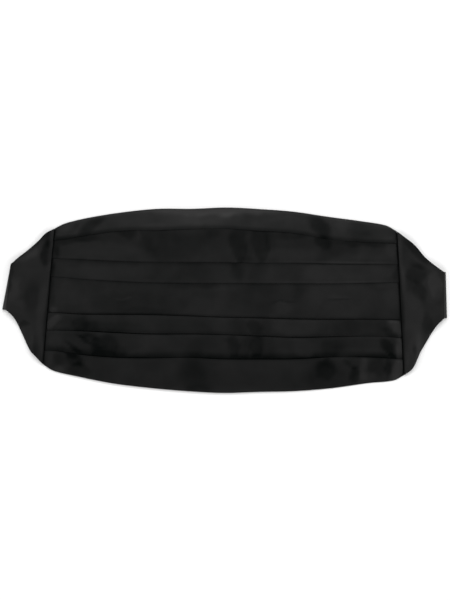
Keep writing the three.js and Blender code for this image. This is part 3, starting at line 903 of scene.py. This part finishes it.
def front_path(along, open_share, inset):
    """The satin's course round one section: up the back, over the front and into the hem."""
    heights = {k: read(FRONT, "along", k, along) * MM for k in FRONT if k != "along"}
    stands = {k: read(STAND, "along", k, along) for k in STAND if k != "along"}
    top, bottom = heights["top"] - inset, heights["bottom"] + inset
    from_seam = min(along, 1 - along) * FRONT_LENGTH
    hollow = SEAM_HOLLOW * math.exp(-from_seam / HOLLOW_REACH)
    base = mix(TONGUE_LEVEL, BAND_LEVEL - hollow, open_share)
    turn = (EDGE_LEVEL - BACK_LEVEL) / 2

    def plain(y, over, pressed=0.0, dull=0.0):
        return (y, over, pressed, dull, "back")

    hem = []
    for i in range(8):
        d = HEM * (1 - i / 8)
        climb = HEM_PLIES * PLY * ease((d - HEM_FLAT) / LAP * 2)
        hem.append(plain(top - turn - d, BACK_LEVEL + climb))
    # The turned top edge carries a painted highlight
    for y, z in arc(top - turn, BACK_LEVEL + turn, turn, -90, 90, 8):
        hem.append(plain(y, z, 1.0, TOP_EDGE_HIGHLIGHT))
    upper, upper_nose, upper_hidden = pleat_half(
        top - turn, 1, UPPER_PLEATS, heights, stands, base, open_share
    )
    lower, lower_nose, lower_hidden = pleat_half(
        bottom + turn, -1, LOWER_PLEATS, heights, stands, base, open_share
    )
    # Painted shade on the middle band beside the two noses that cover it
    upper_painted_shade = UPPER_PLEATS["under"][-1] * min(1, stands["fold3"])
    lower_painted_shade = LOWER_PLEATS["under"][-1] * min(1, stands["fold4"])
    upper_soft, lower_soft = (p["under_soft"][-1] * MM for p in (UPPER_PLEATS, LOWER_PLEATS))
    middle = []
    count = 2 * FACE_STEPS
    for i in range(1, count):
        t = i / count
        y = mix(upper_nose + upper_hidden, lower_nose, 1 - (1 - t) ** CROWDING)
        dive = clamp01(1 - (y - lower_nose) / MIDDLE_DIVE) ** 2
        dull = upper_painted_shade * (1 - ease((upper_nose - y) / upper_soft))
        dull += lower_painted_shade * (1 - ease((y - lower_nose) / lower_soft))
        middle.append((y, base - dive * MIDDLE_SINK * open_share, 0.0, dull, "middle"))
    covered = (lower_nose - lower_hidden, base - MIDDLE_SINK * open_share)
    middle.append((*covered, 0.0, lower_painted_shade, "middle"))
    back = []
    for y, z in arc(bottom + turn, BACK_LEVEL + turn, turn, 90, 270, 8):
        back.append(plain(y, z, 1.0))
    lap = top - LAP
    for i in range(1, 41):
        back.append(plain(mix(bottom + turn, lap, i / 40), BACK_LEVEL))
    for y, z in arc(lap, BACK_LEVEL + PLY / 2, PLY / 2, -90, 90, 4)[1:]:
        back.append(plain(y, z, 1.0))
    for i in range(1, 4):
        back.append(plain(lap - LAP_TURN * i / 3, BACK_LEVEL + PLY))
    return hem + upper + middle + lower[::-1] + back, heights["top"], heights["bottom"]


# The flat sections under an end panel and just past its seam, as front_stations gives them
TUCKED = (
    (-TONGUE, 0.0, 8.2 * MM),
    (-TONGUE / 2, 0.0, 5.5 * MM),
    (-0.2 * MM, 0.0, 2.8 * MM),
    (0.15 * MM, 0.0, 0.1 * MM),
)


def front_stations():
    """Distance from the left seam, how open the pleats are, and how far the edge is inset."""
    ends = list(TUCKED)
    for i in range(1, 7):
        ends.append((SEAM_DIP * i / 6, ease(0.25 + 0.75 * i / 6), 0.0))
    middle = []
    count = COLUMNS - 2 * len(ends) + 1
    for i in range(1, count + 1):
        middle.append((mix(SEAM_DIP, FRONT_LENGTH - SEAM_DIP, i / (count + 1)), 1.0, 0.0))
    return ends + middle + [(FRONT_LENGTH - d, share, n) for d, share, n in ends[::-1]]


def front_x(distance, y):
    along = clamp01(distance / FRONT_LENGTH)
    left = SEAM_LEFT[0] + SEAM_LEFT[1] * y
    right = SEAM_RIGHT[0] + SEAM_RIGHT[1] * y
    return mix(left, right, along) + distance - along * FRONT_LENGTH


def make_pleated_front():
    sections = []
    for distance, open_share, inset in front_stations():
        along = clamp01(distance / FRONT_LENGTH)
        path, top, bottom = front_path(along, open_share, inset)
        points, length, last = [], 0.0, None
        for y, over, pressed, dull, band in path:
            x = front_x(distance, y)
            length += math.dist(last, (y, over)) if last else 0
            last = (y, over)
            amount = slack_and_painted_light(band, x, y)
            soft = 0.0
            if band != "back":
                soft = (amount * SLACK_DEPTH * (1 - pressed) + crumple(x, y)) * open_share
            z = lift(x, y, top, bottom) + over + soft
            # Painted shade in the groove beside each lip, and the painted shade and highlight of the
            # dents, noses and edges
            recess = min(distance, FRONT_LENGTH - distance) / RECESS
            painted_light = mix(RECESS_PAINTED_SHADE, amount + dull * open_share, ease(recess))
            state = {"pressed": pressed, "painted_light": painted_light}
            points.append(((x, y, z), (distance, length), state))
        sections.append(points)
    piece = cloth_grid(
        "pleated_front",
        len(sections) - 1,
        len(sections[0]) - 1,
        lambda column, row: sections[column][row],
    )
    thicken(piece, SATIN)
    return piece, sections[len(sections) // 2][-1][1][1]


# Colour and sheen from the satin's painted shade to its painted highlight
PAINTED_DARKEST, PAINTED_BRIGHTEST = -2.0, 4.0
SATIN_PAINTED_SHADE = (0.0003, 0.0008, 0.0007, 1)
SATIN_PAINTED_LIT = (0.0117, 0.0112, 0.0113, 1)
SHEEN_PAINTED_SHADE = 0.02
SHEEN_PAINTED_LIT = 0.48
CLOUDS = 0.25                # how much of that range is cloudy unevenness


def satin_material(name):
    """Black satin: soft gloss, long floats along the waist, shinier where it is pressed, with painted
    shade and highlight in its colour and coat sheen.
    """
    material = bpy.data.materials.new(name)
    material.use_nodes = True
    nodes, links = material.node_tree.nodes, material.node_tree.links
    shader = nodes["Principled BSDF"]
    shader.inputs["Specular IOR Level"].default_value = 0.03
    shader.inputs["Coat Roughness"].default_value = 0.5
    place = nodes.new("ShaderNodeTexCoord")
    weave = nodes.new("ShaderNodeGroup")
    weave.node_tree = WOVEN
    links.new(place.outputs["UV"], weave.inputs["Cloth"])
    bump = nodes.new("ShaderNodeBump")
    bump.inputs["Strength"].default_value = 0.1
    bump.inputs["Distance"].default_value = 0.04 * MM
    links.new(weave.outputs["Height"], bump.inputs["Height"])
    links.new(bump.outputs["Normal"], shader.inputs["Normal"])

    clouds = nodes.new("ShaderNodeTexNoise")
    clouds.inputs["Scale"].default_value = 70.0
    clouds.inputs["Detail"].default_value = 2.0
    links.new(place.outputs["Object"], clouds.inputs["Vector"])
    # The painted light attribute sets both the colour and the coat's sheen: painted shade where low,
    # painted highlight where high
    painted_light = nodes.new("ShaderNodeAttribute")
    painted_light.attribute_name = "painted_light"
    shade = nodes.new("ShaderNodeMapRange")
    shade.inputs["From Min"].default_value = PAINTED_DARKEST
    shade.inputs["From Max"].default_value = PAINTED_BRIGHTEST
    links.new(painted_light.outputs["Fac"], shade.inputs["Value"])
    cloud_shade = nodes.new("ShaderNodeMath")
    cloud_shade.operation = "MULTIPLY_ADD"
    cloud_shade.inputs[1].default_value = CLOUDS
    cloud_shade.inputs[2].default_value = -CLOUDS / 2
    links.new(clouds.outputs["Fac"], cloud_shade.inputs[0])
    both = nodes.new("ShaderNodeMath")
    both.operation = "ADD"
    both.use_clamp = True
    links.new(shade.outputs["Result"], both.inputs[0])
    links.new(cloud_shade.outputs[0], both.inputs[1])
    tone = nodes.new("ShaderNodeMix")
    tone.data_type = "RGBA"
    tone.inputs["A"].default_value = SATIN_PAINTED_SHADE
    tone.inputs["B"].default_value = SATIN_PAINTED_LIT
    links.new(both.outputs[0], tone.inputs["Factor"])
    links.new(tone.outputs["Result"], shader.inputs["Base Color"])
    sheen = nodes.new("ShaderNodeMapRange")
    sheen.inputs["To Min"].default_value = SHEEN_PAINTED_SHADE
    sheen.inputs["To Max"].default_value = SHEEN_PAINTED_LIT
    links.new(both.outputs[0], sheen.inputs["Value"])
    links.new(sheen.outputs["Result"], shader.inputs["Coat Weight"])

    pressed = nodes.new("ShaderNodeAttribute")
    pressed.attribute_name = "pressed"
    gloss = nodes.new("ShaderNodeMapRange")
    gloss.inputs["To Min"].default_value = 0.55
    gloss.inputs["To Max"].default_value = 0.45
    links.new(pressed.outputs["Fac"], gloss.inputs["Value"])
    links.new(gloss.outputs["Result"], shader.inputs["Roughness"])
    return material


pleated_front, satin_length = make_pleated_front()
pleated_front.data.materials.append(satin_material("front satin"))
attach(pleated_front, "root")
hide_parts("pleated_panel")


# End panels
# Each end is a plain piece of satin over a stiff core, tapering to the strap's width. Its
# wide edge is turned and lies as a soft lip over the end of the pleats.

WING = 1.8 * MM
LIP = 1.1 * MM
LIP_EDGE_WALL = 0.75 * MM
LIP_ROLL = 0.75 * MM         # past where the lip's edge carries painted shade
LIP_ROLL_REACH = 0.9 * MM    # past where the lip is dull
# Width of the painted highlight along the rib behind each lip's edge
LIP_HIGHLIGHT_WIDTH = 1.6 * MM
LIP_TOP = 2.98 * MM
LIP_LENGTH = 5.7 * MM
LIP_FADE = 16 * MM
LIP_END_WALL = 1.6 * MM      # the lip is closed at the outline
LIP_TO_OUTLINE = 8 * MM      # within this past the lip its lift follows its own outline
EDGE_ROLL = 0.3 * MM
EDGE_ROLL_REACH = 2.4 * MM
EDGE_CALM = 4 * MM           # dents fade towards the edges
EDGE_PRESSED = 1.5 * MM
EDGE_BEVEL = 0.6 * MM

LEFT_END = chart(
    "out top_x top_y bottom_x bottom_y",
    (0, -128.6, 54.2, -137.4, -48.3),
    (6, -134.9, 50.8, -143.2, -42.0),
    (13, -140.8, 44.9, -147.7, -36.8),
    (20, -147.8, 38.8, -153.6, -24.2),
    (27, -155.1, 32.9, -159.0, -13.3),
    (33, -161.4, 27.2, -165.0, -7.3),
)
RIGHT_END = chart(
    "out top_x top_y bottom_x bottom_y",
    (0, 130.35, 52.0, 135.8, -56.6),
    (6, 136.9, 47.0, 142.2, -51.2),
    (13, 144.3, 41.1, 148.0, -39.3),
    (20, 151.1, 33.1, 154.1, -29.0),
    (27, 158.3, 26.7, 159.7, -19.8),
    (33, 165.4, 21.5, 165.7, -13.7),
)

# How far from its edge each lip carries painted shade (which also sets how far it rolls
# down) and the painted highlight on the rib behind that, by height over the middle line, in mm
LIPS = chart(
    "height left right left_rib right_rib",
    (-60, 1.2, 0.7, 0.0, 1.2),
    (-45, 1.4, 1.4, 0.2, 0.8),
    (-36, 1.4, 1.8, 0.4, 0.3),
    (-20, 3.4, 2.8, 0.0, 0.0),
    (-4, 2.4, 3.2, 0.0, 0.0),
    (8, 1.6, 1.8, 0.0, 0.7),
    (19, 1.0, 1.6, 0.4, 1.1),
    (30, 0.5, 0.6, 1.1, 1.0),
    (60, 0.4, 0.5, 1.0, 0.9),
)


def make_end_panel(name, side, rows):
    columns, lines = 96, 110
    length = rows["out"][-1]

    def place(column, row):
        share = column / columns if side > 0 else 1 - column / columns
        out = length * share
        top_x, top_y = read(rows, "out", "top_x", out) * MM, read(rows, "out", "top_y", out) * MM
        low_x = read(rows, "out", "bottom_x", out) * MM
        low_y = read(rows, "out", "bottom_y", out) * MM
        out *= MM
        t = row / lines
        x, y = mix(top_x, low_x, t), mix(top_y, low_y, t)
        width = top_y - low_y
        free = ease((out - LIP_LENGTH) / LIP_TO_OUTLINE)
        top = mix(rows["top_y"][0] * MM, top_y, free)
        bottom = mix(rows["bottom_y"][0] * MM, low_y, free)
        side_edge = min(t, 1 - t) * width
        from_edge = min(side_edge, out, length * MM - out)
        height = mix(LIP_TOP, WING, ease((out - LIP_LENGTH) / LIP_FADE))
        roll = EDGE_ROLL * (1 - ease(from_edge / EDGE_ROLL_REACH))
        shade = read(LIPS, "height", name, y / MM) * MM
        roll += (LIP_ROLL - EDGE_ROLL) * (1 - ease(out / (shade + LIP_ROLL_REACH)))
        amount = slack_and_painted_light(f"{name} end", x, y)
        # Painted shade along the lip's edge, painted highlight on the rib behind it, and the dents'
        # painted light
        rib_highlight = math.exp(-(((out - shade - 0.5 * LIP_HIGHLIGHT_WIDTH) / LIP_HIGHLIGHT_WIDTH) ** 2))
        painted_light = amount + rib_highlight * read(LIPS, "height", f"{name}_rib", y / MM)
        soft = (amount * SLACK_DEPTH + crumple(x, y)) * ease(from_edge / EDGE_CALM)
        over = height - roll + soft
        over_tongue = out < LIP_LENGTH and side_edge > LIP_END_WALL
        lip_wall = mix(LIP_EDGE_WALL, LIP, ease(out / (shade + LIP_ROLL_REACH)))
        state = {
            "pressed": 1 - ease(from_edge / EDGE_PRESSED),
            "painted_light": mix(RECESS_PAINTED_SHADE, painted_light, ease(out / shade)),
            "wall": min(1.0, (lip_wall if over_tongue else over) / LIP_TOP),
        }
        return (x, y, lift(x, y, top, bottom) + over), (out, t * width), state

    piece = cloth_grid(f"end_satin_{name}", columns, lines, place)
    walls = [value.value for value in piece.data.attributes["wall"].data]
    group = piece.vertex_groups.new(name="wall")
    for i, value in enumerate(walls):
        group.add([i], value, "REPLACE")
    thicken(piece, LIP_TOP, -1.0).vertex_group = "wall"
    round_edges(piece, EDGE_BEVEL, 4)
    return piece


end_satin = satin_material("end satin")
for name, rows, side in (("left", LEFT_END, -1), ("right", RIGHT_END, 1)):
    panel = make_end_panel(name, side, rows)
    panel.data.materials.append(end_satin)
    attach(panel, "root")
    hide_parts(f"end_panel_{name}")


# Studio
# A plain white floor under the sash, a broad soft light high beyond its top edge, and weaker
# low ones on the other sides.

FLOOR_HALF = 3.0
FLOOR_LEVEL = -0.1 * MM
FLOOR_WHITE = (0.9, 0.9, 0.9, 1)


def make_floor():
    bm = bmesh.new()
    bmesh.ops.create_grid(bm, x_segments=1, y_segments=1, size=FLOOR_HALF)
    bmesh.ops.translate(bm, verts=bm.verts[:], vec=(0, 0, FLOOR_LEVEL))
    piece = new_piece("floor", bm)
    material = bpy.data.materials.new("white floor")
    material.use_nodes = True
    shader = material.node_tree.nodes["Principled BSDF"]
    shader.inputs["Base Color"].default_value = FLOOR_WHITE
    shader.inputs["Roughness"].default_value = 0.9
    shader.inputs["Specular IOR Level"].default_value = 0.0
    piece.data.materials.append(material)


def soft_light(name, away, tilt, towards, size, power):
    """A softbox that faces the sash, tilted from overhead towards a compass side."""
    a, b = math.radians(tilt), math.radians(towards)
    place = Vector((math.sin(a) * math.sin(b), math.sin(a) * math.cos(b), math.cos(a))) * away
    data = bpy.data.lights.new(name, "AREA")
    data.shape = "RECTANGLE"
    data.size, data.size_y = size
    data.energy = power
    lamp = bpy.data.objects.new(name, data)
    lamp.location = place
    lamp.rotation_euler = (-place).to_track_quat("-Z", "Y").to_euler()
    bpy.context.collection.objects.link(lamp)


make_floor()
soft_light("key light", 1.9, 34, 0, (1.6, 0.9), 18)
soft_light("front light", 1.7, 60, 180, (1.4, 0.5), 7)
soft_light("left light", 1.7, 62, -90, (0.6, 0.8), 8)
soft_light("right light", 1.7, 62, 90, (0.6, 0.8), 8)

world = bpy.data.worlds.new("studio")
world.use_nodes = True
world.node_tree.nodes["Background"].inputs["Color"].default_value = (1, 1, 1, 1)
world.node_tree.nodes["Background"].inputs["Strength"].default_value = 0.5
bpy.context.scene.world = world
bpy.context.scene.view_settings.view_transform = "Standard"
